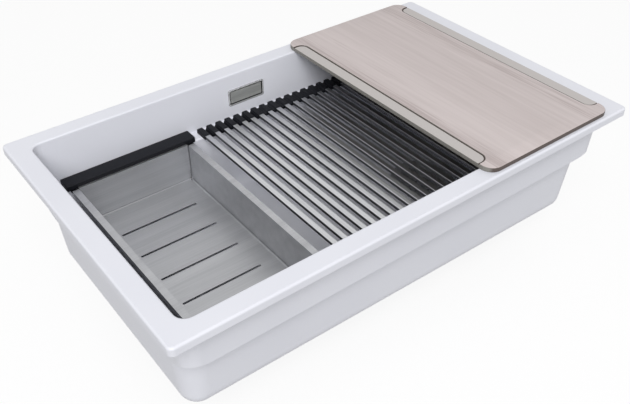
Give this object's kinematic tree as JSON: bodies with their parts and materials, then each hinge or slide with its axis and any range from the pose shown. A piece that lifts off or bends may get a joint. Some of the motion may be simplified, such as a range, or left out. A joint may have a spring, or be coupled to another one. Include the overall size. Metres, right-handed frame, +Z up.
{
  "type": "workstation kitchen sink",
  "caption": "Drop-in composite kitchen sink with a single bowl and ledges that carry a lift-out colander, a roll-up drying rack and a sliding board, with strainer and overflow.",
  "frame": {"origin": "middle of the rim's outline in the plane of the rim's underside, which rests on the worktop", "axes": "+X along the length to the right as seen from the front, +Y to the back wall with the overflow, +Z up"},
  "size_m": [0.82, 0.5, 0.2937],
  "materials": {
    "composite": "satin",
    "steel": "satin",
    "polished": "polished",
    "rubber": "matte",
    "plastic": "satin",
    "board": "matte"
  },
  "bodies": {
    "sink": {"sink_bowl": "composite", "rim_seal": "rubber", "clip_plugs": "plastic", "overflow_frame": "polished", "overflow_plate": "steel", "overflow_screws": "steel", "overflow_gasket": "rubber", "overflow_elbow": "plastic", "overflow_hose": "plastic", "hose_clamps": "steel", "drain_flange": "polished", "flange_gasket": "rubber", "body_gasket": "rubber", "waste_body": "plastic", "waste_screw": "steel"},
    "strainer": {"basket_cup": "polished", "basket_seal": "rubber", "basket_knob": "polished"},
    "colander": {"colander_box": "steel", "rear_rail": "rubber", "front_rail": "rubber"},
    "rack": {"rack_tubes": "steel", "rack_strip_rear": "rubber", "rack_strip_front": "rubber"},
    "board": {"cutting_board": "board"},
    "rack_link_1": {"rack_tube_1": "steel", "rack_tips_1": "rubber"},
    "rack_link_2": {"rack_tube_2": "steel", "rack_tips_2": "rubber"},
    "rack_link_3": {"rack_tube_3": "steel", "rack_tips_3": "rubber"},
    "rack_link_4": {"rack_tube_4": "steel", "rack_tips_4": "rubber"},
    "rack_link_5": {"rack_tube_5": "steel", "rack_tips_5": "rubber"},
    "rack_link_6": {"rack_tube_6": "steel", "rack_tips_6": "rubber"}
  },
  "joints": [
    {"name": "strainer_lift", "type": "slide", "parent": "sink", "child": "strainer", "axis": [0, 0, 1], "range_m": [0, 0.06]},
    {"name": "colander_lift", "type": "slide", "parent": "sink", "child": "colander", "axis": [0, 0, 1], "range_m": [0, 0.26]},
    {"name": "rack_slide", "type": "slide", "parent": "sink", "child": "rack", "axis": [1, 0, 0], "range_m": [0, 0.075]},
    {"name": "board_slide", "type": "slide", "parent": "sink", "child": "board", "axis": [1, 0, 0], "range_m": [-0.475, 0]},
    {"name": "rack_roll_6", "type": "hinge", "parent": "rack", "child": "rack_link_6", "pos_m": [-0.0025, 0, -0.0688], "axis": [0, 1, 0], "range_deg": [0, 45]},
    {"name": "rack_roll_5", "type": "hinge", "parent": "rack_link_6", "child": "rack_link_5", "pos_m": [-0.0205, 0, -0.0688], "axis": [0, 1, 0], "range_deg": [0, 45]},
    {"name": "rack_roll_4", "type": "hinge", "parent": "rack_link_5", "child": "rack_link_4", "pos_m": [-0.0385, 0, -0.0688], "axis": [0, 1, 0], "range_deg": [0, 45]},
    {"name": "rack_roll_3", "type": "hinge", "parent": "rack_link_4", "child": "rack_link_3", "pos_m": [-0.0565, 0, -0.0688], "axis": [0, 1, 0], "range_deg": [0, 45]},
    {"name": "rack_roll_2", "type": "hinge", "parent": "rack_link_3", "child": "rack_link_2", "pos_m": [-0.0745, 0, -0.0688], "axis": [0, 1, 0], "range_deg": [0, 45]},
    {"name": "rack_roll_1", "type": "hinge", "parent": "rack_link_2", "child": "rack_link_1", "pos_m": [-0.0925, 0, -0.0688], "axis": [0, 1, 0], "range_deg": [0, 45]}
  ],
  "couplings": [
    {"joint": "rack_roll_5", "follows": "rack_roll_6", "ratio": 1},
    {"joint": "rack_roll_4", "follows": "rack_roll_6", "ratio": 1},
    {"joint": "rack_roll_3", "follows": "rack_roll_6", "ratio": 1},
    {"joint": "rack_roll_2", "follows": "rack_roll_6", "ratio": 1},
    {"joint": "rack_roll_1", "follows": "rack_roll_6", "ratio": 1}
  ]
}
